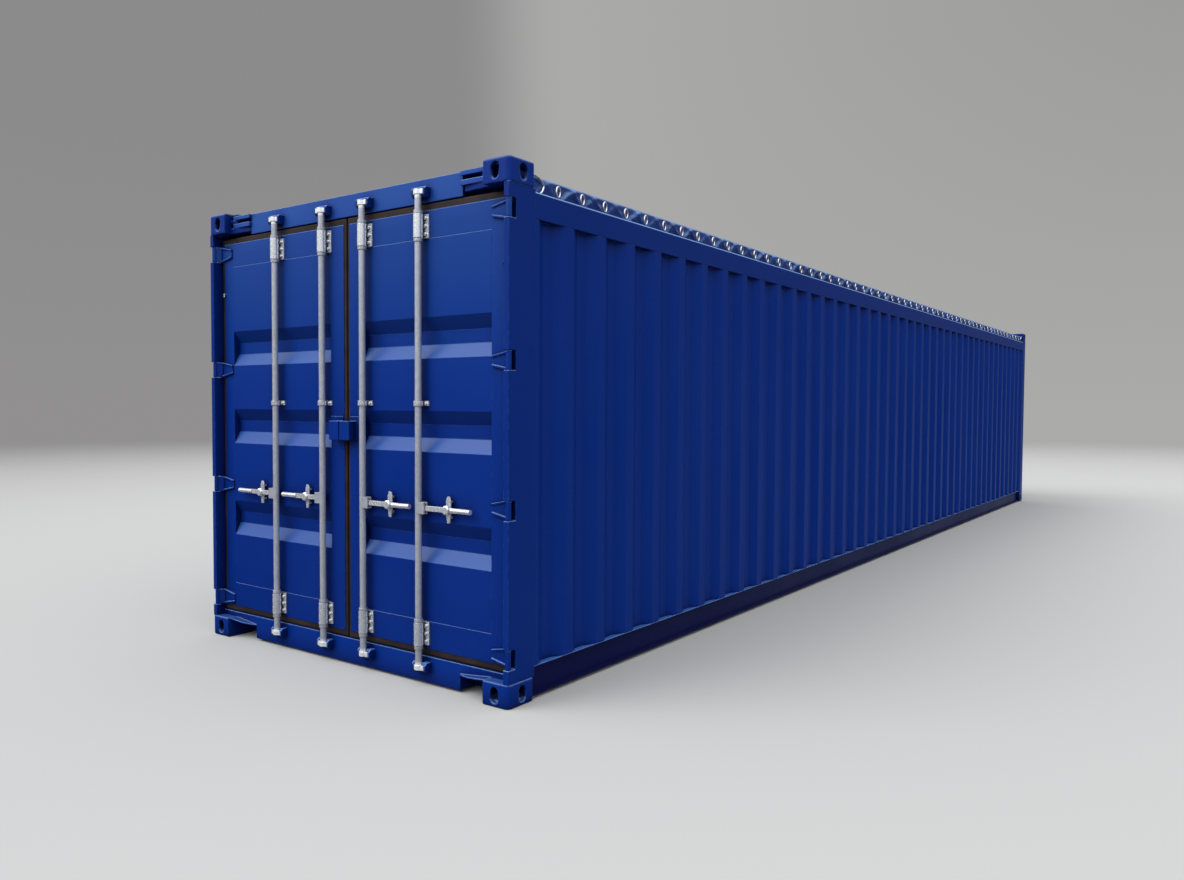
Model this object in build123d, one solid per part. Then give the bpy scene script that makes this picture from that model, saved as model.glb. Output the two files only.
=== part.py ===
"""Forty-foot open-top shipping container: a steel box with two end doors, a swing header over
them, and a tarpaulin laid over roof bows. X runs across it, Y along it with the doors at -Y,
and Z up from the faces that it stands on."""
from build123d import *
import os

# Overall sizes, to the outer faces of the corner castings
length = 12192
width = 2438
height = 2591
half_length = length / 2
half_width = width / 2
mid_height = height / 2

# Clearances that several pieces share
cut_over = 10
moving_gap = 5
running_gap = 0.08
seat_gap = 0.3

# Corner castings
casting_length = 178
casting_width = 162
casting_height = 118
casting_lock_plate = 28
casting_face_wall = 17
casting_hidden_wall = 10
casting_corner_radius = 26
casting_edge_radius = 12
lock_slot_length = 124.5
lock_slot_width = 63.5
lock_slot_from_end = 103.5
lock_slot_from_side = 89.5
hand_slot_height = 79.5
hand_slot_width = 51
shield_wide_radius = 28
shield_narrow_radius = 23

# Corner posts at the door end
post_setback = 4
post_face_width = 35
post_inner_width = 43
post_depth = 196
post_wall = 6
post_step_depth = 118

# Hinges
hinge_count = 4
hinge_lowest = 233
hinge_highest_drop = 236
hinge_pin_from_side = 20
hinge_pin_from_end = 22
hinge_pin_radius = 8
hinge_pin_stand = 3
knuckle_radius = 14
knuckle_height = 90
knuckle_end_gap = 2
hinge_lug_thickness = 8
hinge_pocket_depth = 56
hinge_blade_thickness = 12
hinge_blade_reach = 131
hinge_blade_bend_reach = 34
hinge_blade_tip_height = 52
hinge_blade_rim = 10
hinge_blade_recess = 6

# Door sill, with a threshold behind it and an apron over each notch
sill_top = 148
sill_bottom = 14
sill_depth = 118
sill_half_front = 850
sill_notch_height = 50
sill_wall = 6
threshold_top = 168
threshold_start = 55
threshold_slope = 14
apron_setback = 14
apron_thickness = 8

# Swing header, its forked ends and the lugs that carry them
header_top_drop = 18
header_height = 118
header_depth = 60
header_wall = 5
header_half_beam = 868
upper_arm_height = 22
fork_gap = 23
lower_arm_height = 25
lower_lug_height = 28
fork_eye_radius = 30
fork_eye_from_casting = 34
fork_eye_from_end = 74
lug_nose_radius = 15
lug_nose_gap = 8
header_pin_radius = 12
header_pin_head = 15
header_pin_head_radius = 22
back_plate_drop = 50
back_plate_top_gap = 10

# Door leaves
leaf_setback = 60
leaf_thickness = 50
leaf_half_gap = 24
leaf_side_margin = 34
leaf_end_margin = 40
hinge_stile_width = 91
lock_stile_width = 111
leaf_top_rail = 140
leaf_bottom_rail = 143
leaf_tube_wall = 4
panel_thickness = 2
recess_shares = (0.247, 0.5, 0.713)
recess_height = 208
recess_flat = 68
recess_depth = 36
gasket_depth = 34
gasket_setback = 3
gasket_meeting_gap = 8
gasket_edge_radius = 9
hook_share = 0.864
hook_from_edge = 8
hook_bar_radius = 4
hook_stand = 14
hook_drop = 17

# Locking gear
rod_radius = 17
rod_from_end = 24
rod_offsets = (168, 594)
rod_below_sill_top = 64
rod_above_header_bottom = 61
cam_height = 24
cam_radius = 22
cam_finger_reach = 40
cam_finger_thickness = 18
cam_heel_reach = 31
cam_heel_radius = 9
collar_radius = 22
collar_height = 16
keeper_shelf = 9
keeper_ear = 7
keeper_ear_chamfer = 12
keeper_front_setback = 19
guide_height = 120
guide_wall = 7
guide_plate_width = 52
guide_plate_thickness = 8
guide_web_thickness = 14
guide_from_leaf_end = 80
mid_clip_height = 26
mid_clip_share = 0.564
bolt_radius = 10
bolt_head_height = 9
bolts_per_guide = 3

# Handles
handle_height = 915
handle_reach = 360
handle_thickness = 11
handle_bar_height = 26
handle_grip_radius = 13
handle_grip_length = 128
handle_eye_radius = 15
handle_pin_radius = 6
hub_reach = 52
hub_height = 60
hub_side = 9
hub_pin_reach = 38
hub_slot_gap = 0.5
boss_radius = 24
boss_thickness = 11
boss_round = 9
right_boss_reach = 201
left_boss_reach = 150
cradle_half_width = 16
cradle_top = 66
cradle_shoulder = 46
cradle_bottom = 66
cradle_hip = 20
cradle_tip_half_width = 8
cradle_thickness = 6
cradle_leg_inner = 34
cradle_leg_outer = 44

# Lock box over the meeting edges, with a plate on each leaf
lock_box_half_width = 83
lock_box_share = 0.474
lock_box_height = 103
lock_box_wall = 6
lock_box_setback = 2
lock_box_gap = 8
lock_plate_reach = 132
lock_plate_height = 129

# Side walls, front wall and their corrugations
wall_setback = 7
wall_thickness = 2
wall_depth = 34
wall_end_flat = 32
side_pitch_nominal = 281
crest_share = 0.262
valley_share = 0.252
front_pitch_nominal = 250
front_wall_depth = 44

# Rails along the sides
side_rail_bottom = 18
side_rail_top = 168
side_rail_wall = 5
side_rail_width = 48
side_rail_web_inset = 34
top_rail_drop = 141
top_rail_height = 120
top_rail_width = 60
top_rail_wall = 4
top_rail_setback = 5
top_rail_bead = 7
tarp_rail_height = 86
tarp_rail_inset = 36
tarp_rail_wall = 5

# Front end frame
front_post_width = 55
front_post_depth = casting_length
front_rail_depth = 60
front_top_rail_drop = 61
front_top_rail_height = 90

# Underframe, floor and the tunnel that a trailer's neck goes into
cross_member_height = 122
cross_member_flange = 45
cross_member_wall = 4.5
cross_member_pitch_nominal = 305
floor_thickness = 28
floor_board_count = 6
floor_joint_gap = 2
tunnel_length = 3300
tunnel_half_width = 515
tunnel_wall = 5

# Roof bows and tarpaulin
bow_width = 40
bow_height = 28
bow_pitch_nominal = 620
bow_socket_width = 52
bow_socket_depth = 30
tarp_thickness = 3
tarp_above_rail = 6
tarp_crown_rise = 38
tarp_skirt_gap = 6
tarp_end_setback = 200
tarp_tongue_setback = 126
tarp_casting_gap = 12
tarp_flap_drop = 80
ring_pitch_nominal = 205
ring_bar = 8
ring_height = 52
ring_stand = 28
ring_above_skirt = 41
end_loop_radius = 6
end_loop_from_side = 21
end_loop_points = ((-4, 85), (62, 82), (99, 48), (84, 18), (32, 0.5))

# Levels that follow from the sizes above
header_top = height - header_top_drop
header_bottom = header_top - header_height
leaf_bottom = sill_top + leaf_end_margin
leaf_top = header_bottom - leaf_end_margin
leaf_height = leaf_top - leaf_bottom
recess_levels = [leaf_bottom + share * leaf_height for share in recess_shares]
rod_bottom = sill_top - rod_below_sill_top
rod_top = header_bottom + rod_above_header_bottom
guide_bottom_center = leaf_bottom + guide_from_leaf_end
guide_top_center = leaf_top - guide_from_leaf_end
mid_clip_center = leaf_bottom + mid_clip_share * leaf_height
lock_box_bottom = leaf_bottom + lock_box_share * leaf_height
hook_level = leaf_bottom + hook_share * leaf_height
top_rail_top = height - top_rail_drop
top_rail_bottom = top_rail_top - top_rail_height
tarp_rail_top = top_rail_top + tarp_rail_height
tarp_edge_height = tarp_rail_top + tarp_above_rail
tarp_crown_height = tarp_edge_height + tarp_crown_rise
tarp_skirt_bottom = top_rail_top + tarp_skirt_gap
front_top_rail_top = height - front_top_rail_drop
front_top_rail_bottom = front_top_rail_top - front_top_rail_height


def block(x0, x1, y0, y1, z0, z1):
    """A box between two opposite corners."""
    size = (abs(x1 - x0), abs(y1 - y0), abs(z1 - z0))
    return Pos((x0 + x1) / 2, (y0 + y1) / 2, (z0 + z1) / 2) * Box(*size)


def outline(points):
    """A flat face inside a closed run of straight lines."""
    return make_face(Polyline(*points, close=True))


def upright(points, z0, z1):
    """A plan outline raised from one level to another."""
    return Pos(0, 0, z0) * extrude(outline(points), z1 - z0)


def across(points, x0, x1):
    """An outline of (y, z) points run across the container."""
    return Pos(x0, 0, 0) * extrude(Plane.YZ * outline(points), x1 - x0)


def along(points, y0, y1):
    """An outline of (x, z) points run along the container."""
    return Pos(0, y1, 0) * extrude(Plane.XZ * outline(points), y1 - y0)


def peg(radius, x, y, z0, z1):
    """An upright round bar."""
    return Pos(x, y, (z0 + z1) / 2) * Cylinder(radius, z1 - z0)


def stud(radius, x, z, y0, y1):
    """A round bar that points along the container."""
    return Pos(x, (y0 + y1) / 2, z) * Rot(90, 0, 0) * Cylinder(radius, y1 - y0)


def group(shapes):
    """Several solids kept apart in one node."""
    return Compound([solid for shape in shapes for solid in shape.solids()])


def other_side(shape):
    """The same piece on the left of the container."""
    return mirror(shape, about=Plane.YZ)


def other_end(shape):
    """The same piece at the closed end."""
    return mirror(shape, about=Plane.XZ)


def both_sides(shape):
    return group([shape, other_side(shape)])


def from_end(depth):
    """Y of a plane this far behind the door end's castings."""
    return depth - half_length


def from_side(inset):
    """X of a plane this far inside the right side's castings."""
    return half_width - inset


def spread(first, last, count):
    """Evenly spaced places from first to last."""
    step = (last - first) / (count - 1)
    return [first + step * index for index in range(count)]


# Corner castings
casting_inner_x = from_side(casting_width)


def lock_slot():
    """The long hole in a casting's top or bottom plate."""
    face = SlotOverall(lock_slot_length, lock_slot_width, rotation=90)
    deep = casting_lock_plate + 2 * cut_over
    place = Pos(from_side(lock_slot_from_side), from_end(lock_slot_from_end), -cut_over)
    return place * extrude(face, deep)


def hand_slot_face(upper):
    """The hole in a casting's end or side: a shield in an upper one, a slot in a lower one."""
    if not upper:
        return SlotOverall(hand_slot_height, hand_slot_width, rotation=90)
    wide_up = shield_wide_radius - hand_slot_height / 2
    narrow_up = hand_slot_height / 2 - shield_narrow_radius
    wide = Pos(0, wide_up) * Circle(shield_wide_radius)
    narrow = Pos(0, narrow_up) * Circle(shield_narrow_radius)
    return make_hull(wide.edges() + narrow.edges())


def casting(upper):
    """A hollow cast box with a hole in its end, its side and its top or bottom."""
    body = block(casting_inner_x, half_width, from_end(0), from_end(casting_length), 0, casting_height)
    corner = body.edges().filter_by(Axis.Z).sort_by(Axis.X)[-2:].sort_by(Axis.Y)[:1]
    body = fillet(corner, casting_corner_radius)
    outer_rim = [edge for edge in body.faces().sort_by(Axis.Z)[0].edges()
                 if edge.center().X > casting_inner_x + 1
                 and edge.center().Y < from_end(casting_length) - 1]
    body = fillet(outer_rim, casting_edge_radius)
    hollow = block(from_side(casting_width - casting_hidden_wall), from_side(casting_face_wall),
                   from_end(casting_face_wall), from_end(casting_length - casting_hidden_wall),
                   casting_lock_plate, casting_height - casting_hidden_wall)
    hand_height = casting_height / 2
    reach = casting_face_wall + 2 * cut_over
    end_place = Pos(from_side(lock_slot_from_side), from_end(casting_face_wall + cut_over), hand_height)
    end_hole = end_place * extrude(Plane.XZ * hand_slot_face(upper), reach)
    side_place = Pos(from_side(casting_face_wall + cut_over), from_end(lock_slot_from_end), hand_height)
    side_hole = side_place * extrude(Plane.YZ * hand_slot_face(upper), reach)
    return body - hollow - lock_slot() - end_hole - side_hole


def lower_casting():
    return casting(False)


def upper_casting():
    return mirror(casting(True), about=Plane.XY.offset(mid_height))


# Corner posts at the door end
def hinge_levels():
    return spread(hinge_lowest, height - hinge_highest_drop, hinge_count)


pin_x = from_side(hinge_pin_from_side)
pin_y = from_end(hinge_pin_from_end)
pocket_height = knuckle_height + 2 * knuckle_end_gap


def post_outline(inset):
    """The door post's plan outline, drawn in by a wall's thickness for its hollow."""
    outer = from_side(post_setback + inset)
    face = from_side(post_face_width - inset)
    deep = from_side(post_inner_width - inset)
    return [(outer, from_end(post_setback + inset)), (face, from_end(post_setback + inset)),
            (face, from_end(post_step_depth + inset)), (deep, from_end(post_step_depth + inset)),
            (deep, from_end(post_depth - inset)), (outer, from_end(post_depth - inset))]


def door_post():
    """The hollow post on the right, with a pocket through its corner at each hinge."""
    post = upright(post_outline(0), casting_height, height - casting_height)
    post -= upright(post_outline(post_wall), casting_height, height - casting_height)
    for level in hinge_levels():
        low = level - pocket_height / 2
        high = level + pocket_height / 2
        inner = from_side(post_face_width)
        lug_low = low - hinge_lug_thickness
        lug_high = high + hinge_lug_thickness
        back = from_end(hinge_pocket_depth)
        liner = block(inner, from_side(post_setback), from_end(post_setback), back + post_wall,
                      lug_low, lug_high)
        pocket = block(inner - cut_over, from_side(post_setback) + cut_over,
                       from_end(post_setback) - cut_over, back, low, high)
        hole = peg(hinge_pin_radius + running_gap / 2, pin_x, pin_y, lug_low, lug_high)
        post = post + liner - pocket - hole
    return post


def hinge_pins():
    """One pin through the two lugs of each hinge pocket."""
    reach = pocket_height / 2 + hinge_lug_thickness + hinge_pin_stand
    return group([peg(hinge_pin_radius, pin_x, pin_y, level - reach, level + reach)
                  for level in hinge_levels()])


def hinge_blade(level):
    """A forged strap: a knuckle round the pin, a bent neck and a tail with raised rims."""
    flat_front = from_end(leaf_setback - hinge_blade_thickness)
    flat_back = from_end(leaf_setback)
    bend_x = pin_x - hinge_blade_bend_reach
    tail_x = pin_x - hinge_blade_reach
    half = hinge_blade_thickness / 2
    plan = [(pin_x, pin_y + half), (pin_x - half, pin_y - half), (bend_x, flat_front),
            (tail_x, flat_front), (tail_x, flat_back), (bend_x - half, flat_back)]
    low = level - knuckle_height / 2
    high = level + knuckle_height / 2
    blade = upright(plan, low, high)
    tip_drop = (knuckle_height - hinge_blade_tip_height) / 2
    for end, way in ((low, 1), (high, -1)):
        taper = [(tail_x - cut_over, end + way * tip_drop), (tail_x, end + way * tip_drop),
                 (bend_x, end), (bend_x, end - way * cut_over), (tail_x - cut_over, end - way * cut_over)]
        blade -= along(taper, flat_front - cut_over, flat_back + cut_over)
    tip_half = hinge_blade_tip_height / 2 - hinge_blade_rim
    wide_half = knuckle_height / 2 - hinge_blade_rim
    hollow = [(tail_x - cut_over, level - tip_half), (tail_x, level - tip_half), (bend_x, level - wide_half),
              (bend_x, level + wide_half), (tail_x, level + tip_half), (tail_x - cut_over, level + tip_half)]
    blade -= along(hollow, flat_front - cut_over, flat_front + hinge_blade_recess)
    blade += peg(knuckle_radius, pin_x, pin_y, low, high)
    return blade - peg(hinge_pin_radius + running_gap, pin_x, pin_y, low, high)


def hinge_blades():
    return group([hinge_blade(level) for level in hinge_levels()])


# Sill under the doors
frame_inner_x = from_side(post_face_width)


def sill_outline(low, inset):
    """The sill's outline from the end: flat under the doors, then a slope up to the floor."""
    front = from_end(leaf_setback)
    back = from_end(leaf_setback + sill_depth)
    rise = front + threshold_start + inset / 2
    near = front + inset
    far = back + (cut_over if inset else 0)
    return [(near, low), (far, low), (far, threshold_top - inset),
            (rise + threshold_slope, threshold_top - inset), (rise, sill_top - inset),
            (near, sill_top - inset)]


def apron():
    """A plate that runs from the sill's notch up to the casting, with a curved front edge."""
    notch_top = sill_top - sill_notch_height
    front = from_end(apron_setback)
    back = from_end(leaf_setback) + sill_wall
    side = [(sill_half_front, notch_top - apron_thickness), (casting_inner_x, casting_height - apron_thickness),
            (casting_inner_x, casting_height), (sill_half_front, notch_top)]
    run = casting_inner_x - sill_half_front
    plan = [(sill_half_front, back), (sill_half_front, from_end(leaf_setback))]
    for share, forward in ((0.15, 0.42), (0.32, 0.7), (0.5, 0.87), (0.7, 0.97), (1, 1)):
        plan.append((sill_half_front + share * run,
                     from_end(leaf_setback) + forward * (front - from_end(leaf_setback))))
    plan.append((casting_inner_x, back))
    return along(side, front - cut_over, back) & upright(plan, 0, casting_height + cut_over)


def door_sill():
    """A pressed channel under the doors, cut away beside the castings."""
    notch_top = sill_top - sill_notch_height
    front = from_end(leaf_setback)
    back = from_end(leaf_setback + sill_depth)
    body = across(sill_outline(sill_bottom, 0), -casting_inner_x, casting_inner_x)
    ends = across(sill_outline(casting_height, 0), -frame_inner_x, frame_inner_x)
    ends -= both_sides(upright(post_outline(0), casting_height, threshold_top))
    middle_half = sill_half_front - sill_wall
    hollow = across(sill_outline(sill_bottom + sill_wall, sill_wall), -middle_half, middle_half)
    end_half = casting_inner_x - sill_wall
    hollow += across(sill_outline(notch_top + sill_wall, sill_wall), -end_half, end_half)
    notch = block(sill_half_front, casting_inner_x, front - cut_over, back - sill_wall,
                  sill_bottom - cut_over, notch_top)
    body = body + ends - hollow - notch - other_side(notch)
    return body + apron() + other_side(apron())


# Swing header
eye_x = casting_inner_x - fork_eye_from_casting
eye_y = from_end(fork_eye_from_end)
fork_top = header_top - upper_arm_height
fork_bottom = fork_top - fork_gap
arm_bottom = fork_bottom - lower_arm_height


def fork_arm(z0, z1):
    """One arm of the header's fork, rounded at its eye and bored for the pin."""
    arm = block(header_half_beam, eye_x, eye_y - fork_eye_radius, eye_y + fork_eye_radius, z0, z1)
    arm += peg(fork_eye_radius, eye_x, eye_y, z0, z1)
    return arm - peg(header_pin_radius + running_gap, eye_x, eye_y, z0, z1)


def door_header():
    """The swing header: a box beam with a fork at each end and a plate behind the seal."""
    front = from_end(leaf_setback)
    back = front + header_depth
    beam = block(-header_half_beam, header_half_beam, front, back, header_bottom, header_top)
    hollow_half = header_half_beam - header_wall
    hollow = block(-hollow_half, hollow_half, front + header_wall, back - header_wall,
                   header_bottom + header_wall, header_top - header_wall)
    plate_half = casting_inner_x - moving_gap
    plate_back = from_end(post_step_depth + post_wall)
    plate = block(-plate_half, plate_half, back - header_wall, plate_back,
                  header_bottom - back_plate_drop, header_top - back_plate_top_gap)
    arms = fork_arm(arm_bottom, fork_bottom) + fork_arm(fork_top, header_top)
    return beam - hollow + plate + arms + other_side(arms)


def header_lug():
    """The casting's two lugs, in and under the fork, with the pin through all four layers."""
    half = fork_eye_radius
    upper = block(eye_x, casting_inner_x, eye_y - half, eye_y + half,
                  fork_bottom + seat_gap, fork_top - seat_gap)
    upper += peg(half, eye_x, eye_y, fork_bottom + seat_gap, fork_top - seat_gap)
    lower_top = arm_bottom - seat_gap
    lower_low = lower_top - lower_lug_height
    nose_x = header_half_beam + lug_nose_gap + lug_nose_radius
    lower = upright([(casting_inner_x, eye_y - half), (nose_x, eye_y - lug_nose_radius),
                     (nose_x, eye_y + lug_nose_radius), (casting_inner_x, eye_y + half)],
                    lower_low, lower_top)
    lower += peg(lug_nose_radius, nose_x, eye_y, lower_low, lower_top)
    pin = peg(header_pin_radius, eye_x, eye_y, lower_low, header_top + header_pin_head)
    head = peg(header_pin_head_radius, eye_x, eye_y, header_top + seat_gap, header_top + header_pin_head)
    return upper + lower + pin + head


# Door leaves, drawn on the right and mirrored
leaf_outer_x = from_side(post_face_width + leaf_side_margin)
leaf_front = from_end(leaf_setback)
leaf_back = from_end(leaf_setback + leaf_thickness)
panel_inner_x = leaf_half_gap + lock_stile_width
panel_outer_x = leaf_outer_x - hinge_stile_width
panel_bottom = leaf_bottom + leaf_bottom_rail
panel_top = leaf_top - leaf_top_rail


def leaf_frame():
    """Four tubes welded into a frame."""
    outer = block(leaf_half_gap, leaf_outer_x, leaf_front, leaf_back, leaf_bottom, leaf_top)
    window = block(panel_inner_x, panel_outer_x, leaf_front - cut_over, leaf_back + cut_over,
                   panel_bottom, panel_top)
    wall = leaf_tube_wall
    front = leaf_front + wall
    back = leaf_back - wall
    hollow = block(leaf_half_gap + wall, leaf_outer_x - wall, front, back,
                   leaf_bottom + wall, leaf_top - wall)
    core = block(panel_inner_x - wall, panel_outer_x + wall, front - cut_over, back + cut_over,
                 panel_bottom - wall, panel_top + wall)
    return outer - window - (hollow - core)


def leaf_panel():
    """The pressed sheet with three level recesses."""
    front = leaf_front
    back = leaf_front + recess_depth
    slope = (recess_height - recess_flat) / 2
    near = [(front, panel_bottom)]
    for middle in recess_levels:
        near += [(front, middle - recess_height / 2), (back, middle - recess_height / 2 + slope),
                 (back, middle + recess_height / 2 - slope), (front, middle + recess_height / 2)]
    near.append((front, panel_top))
    far = [(y + panel_thickness, z) for y, z in reversed(near)]
    return across(near + far, panel_inner_x, panel_outer_x)


def leaf_gasket():
    """The rubber seal round the edge of the leaf, rounded at its front."""
    front = leaf_front + gasket_setback
    outer_x = from_side(post_face_width + moving_gap)
    whole = block(gasket_meeting_gap / 2, outer_x, front, front + gasket_depth,
                  sill_top + moving_gap, header_bottom - moving_gap)
    whole = fillet(whole.faces().sort_by(Axis.Y)[0].edges(), gasket_edge_radius)
    return whole - block(leaf_half_gap, leaf_outer_x, front - cut_over, front + gasket_depth + cut_over,
                         leaf_bottom, leaf_top)


def tie_back_hook():
    """A small bent hook by the leaf's hinged edge, which holds the door when it is open."""
    x = leaf_outer_x - hook_from_edge
    front = leaf_front - hook_stand
    stem = stud(hook_bar_radius, x, hook_level, front, leaf_front)
    return stem + peg(hook_bar_radius, x, front + hook_bar_radius, hook_level - hook_drop,
                      hook_level + hook_bar_radius)


# Locking gear, drawn for a rod at x whose handle points towards way
rod_y = from_end(rod_from_end)


def cam(x, way, low):
    """The forged end of a rod, with a finger to one side and a rounded heel to the other."""
    finger = block(x, x + way * cam_finger_reach, rod_y - cam_finger_thickness / 2,
                   rod_y + cam_finger_thickness / 2, low, low + cam_height)
    heel_x = x - way * (cam_heel_reach - cam_heel_radius)
    heel = block(x, heel_x, rod_y - cam_heel_radius, rod_y + cam_heel_radius, low, low + cam_height)
    heel += peg(cam_heel_radius, heel_x, rod_y, low, low + cam_height)
    return peg(cam_radius, x, rod_y, low, low + cam_height) + finger + heel


def lock_rod(x, way):
    """A tube with a cam at each end, collars at its guides and a forked hub."""
    rod = peg(rod_radius, x, rod_y, rod_bottom, rod_top)
    rod += cam(x, way, rod_bottom) + cam(x, way, rod_top - cam_height)
    for level in (guide_top_center, guide_bottom_center):
        half = guide_height / 2 + knuckle_end_gap
        rod += peg(collar_radius, x, rod_y, level + half, level + half + collar_height)
        rod += peg(collar_radius, x, rod_y, level - half - collar_height, level - half)
    half_deep = handle_thickness / 2 + hub_slot_gap + hub_side
    hub = block(x, x + way * hub_reach, rod_y - half_deep, rod_y + half_deep,
                handle_height - hub_height / 2, handle_height + hub_height / 2)
    slot_start = x + way * (hub_pin_reach - handle_eye_radius - knuckle_end_gap)
    half_slot = handle_thickness / 2 + hub_slot_gap
    slot = block(slot_start, x + way * (hub_reach + cut_over), rod_y - half_slot, rod_y + half_slot,
                 handle_height - hub_height, handle_height + hub_height)
    pin = stud(handle_pin_radius, x + way * hub_pin_reach, handle_height, rod_y - half_deep,
               rod_y + half_deep)
    return rod + hub - slot + pin


def handle(x, way, boss_at):
    """The bar that turns a rod: an eye, a flat bar, a domed boss and a round grip."""
    pivot = x + way * hub_pin_reach
    tip = x + way * handle_reach
    grip_start = tip - way * handle_grip_length
    near = rod_y - handle_thickness / 2
    far = rod_y + handle_thickness / 2
    half = handle_bar_height / 2
    bar = block(pivot, grip_start + way * handle_grip_radius, near, far,
                handle_height - half, handle_height + half)
    eye = stud(handle_eye_radius, pivot, handle_height, near, far)
    middle = (grip_start + tip) / 2
    grip = Pos(middle, rod_y, handle_height) * Rot(0, 90, 0) * Cylinder(handle_grip_radius, handle_grip_length)
    boss = stud(boss_radius, x + way * boss_at, handle_height, near - boss_thickness, near)
    boss = fillet(boss.faces().sort_by(Axis.Y)[0].edges(), boss_round)
    hole = stud(handle_pin_radius + running_gap, pivot, handle_height, near - cut_over, far + cut_over)
    return bar + eye + grip + boss - hole


def handle_cradle(x, way, boss_at):
    """The strap on two legs that the stowed handle lies against, with a rounded ear at each end."""
    middle = x + way * boss_at
    near = rod_y + handle_thickness / 2 + moving_gap
    half = cradle_half_width
    tip = cradle_tip_half_width
    strap = along([(middle - tip, handle_height - cradle_bottom), (middle + tip, handle_height - cradle_bottom),
                   (middle + half, handle_height - cradle_hip), (middle + half, handle_height + cradle_shoulder),
                   (middle + tip, handle_height + cradle_top), (middle - tip, handle_height + cradle_top),
                   (middle - half, handle_height + cradle_shoulder), (middle - half, handle_height - cradle_hip)],
                  near, near + cradle_thickness)
    for side in (-1, 1):
        strap += block(middle - tip, middle + tip, near, leaf_front,
                       handle_height + side * cradle_leg_inner, handle_height + side * cradle_leg_outer)
    return strap


def rod_guide(x, level, tall, bolts):
    """A sleeve round a rod, with a web and a bolted plate on the leaf."""
    low = level - tall / 2
    high = level + tall / 2
    sleeve = peg(rod_radius + guide_wall, x, rod_y, low, high)
    plate_left = x - guide_web_thickness / 2
    plate = block(plate_left, plate_left + guide_plate_width, leaf_front - guide_plate_thickness,
                  leaf_front, low, high)
    web = block(x - guide_web_thickness / 2, x + guide_web_thickness / 2, rod_y,
                leaf_front - guide_plate_thickness, low, high)
    guide = sleeve + plate + web
    for number in range(bolts):
        z = low + tall * (number + 1 / 2) / bolts
        bolt_x = plate_left + guide_plate_width - 2 * bolt_radius
        front = leaf_front - guide_plate_thickness - bolt_head_height
        guide += Pos(bolt_x, front + bolt_head_height / 2, z) * Rot(90, 0, 0) * extrude(
            RegularPolygon(bolt_radius, 6), bolt_head_height / 2, both=True)
    return guide - peg(rod_radius + running_gap, x, rod_y, low - cut_over, high + cut_over)


def leaf_guides(side):
    """Every rod guide of one leaf."""
    guides = []
    for offset in rod_offsets:
        x = side * offset
        guides.append(rod_guide(x, guide_top_center, guide_height, bolts_per_guide))
        guides.append(rod_guide(x, guide_bottom_center, guide_height, bolts_per_guide))
        guides.append(rod_guide(x, mid_clip_center, mid_clip_height, 1))
    return group(guides)


def cam_keeper(x, way, face, cam_low, rod_below):
    """A bracket with a shelf above and below a cam and an ear to each side of it, open behind so
    that the cam's heel can turn. The shelf that the rod passes is notched."""
    front = from_end(keeper_front_setback)
    low = cam_low - moving_gap - keeper_shelf
    high = cam_low + cam_height + moving_gap + keeper_shelf
    near = cam_heel_reach + moving_gap + keeper_ear
    far = cam_finger_reach + moving_gap + keeper_ear
    x0, x1 = sorted((x - way * near, x + way * far))
    bevel = keeper_ear_chamfer
    bracket = across([(front + bevel, low), (face, low), (face, high), (front + bevel, high),
                      (front, high - bevel), (front, low + bevel)], x0, x1)
    room = block(x0 + keeper_ear, x1 - keeper_ear, front - cut_over, face + cut_over,
                 low + keeper_shelf, high - keeper_shelf)
    notch_half = rod_radius + moving_gap
    notch_low = low - cut_over if rod_below else high - keeper_shelf - cut_over
    notch = block(x - notch_half, x + notch_half, front - cut_over, face + cut_over,
                  notch_low, notch_low + keeper_shelf + 2 * cut_over)
    return bracket - room - notch


def cam_keepers(face, cam_low, rod_below):
    return group([cam_keeper(side * offset, side, face, cam_low, rod_below)
                  for side in (-1, 1) for offset in rod_offsets])


def lock_box():
    """Half of the padlock guard: a hood open below and towards the other half, on its plate."""
    front = from_end(lock_box_setback)
    inner = lock_box_gap / 2
    high = lock_box_bottom + lock_box_height
    shell = block(inner, lock_box_half_width, front, leaf_front, lock_box_bottom, high)
    room = block(inner - cut_over, lock_box_half_width - lock_box_wall, front + lock_box_wall,
                 leaf_front + cut_over, lock_box_bottom - cut_over, high - lock_box_wall)
    plate = block(leaf_half_gap + moving_gap, lock_plate_reach, leaf_front - lock_box_wall, leaf_front,
                  lock_box_bottom, lock_box_bottom + lock_plate_height)
    return shell - room + plate


# Corrugated walls
def corrugation(span, nominal, end_flat):
    """Distances along a wall and how far in each one lies, as a share of the depth."""
    count = round((span - 2 * end_flat + nominal * crest_share) / nominal)
    pitch = (span - 2 * end_flat) / (count - crest_share)
    slope = pitch * (1 - crest_share - valley_share) / 2
    places = [(0, 0)]
    for index in range(count):
        start = end_flat + index * pitch
        places += [(start, 0), (start + slope, 1), (start + slope + pitch * valley_share, 1),
                   (start + 2 * slope + pitch * valley_share, 0)]
    places.append((span, 0))
    return places


side_wall_start = from_end(post_depth)
side_wall_end = half_length - front_post_depth
side_wall_length = side_wall_end - side_wall_start


def side_wall():
    """The right wall's corrugated sheet."""
    near = [(from_side(wall_setback + share * wall_depth), side_wall_start + place)
            for place, share in corrugation(side_wall_length, side_pitch_nominal, wall_end_flat)]
    far = [(x - wall_thickness, y) for x, y in reversed(near)]
    return upright(near + far, side_rail_top, top_rail_bottom)


front_wall_half = half_width - front_post_width


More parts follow.
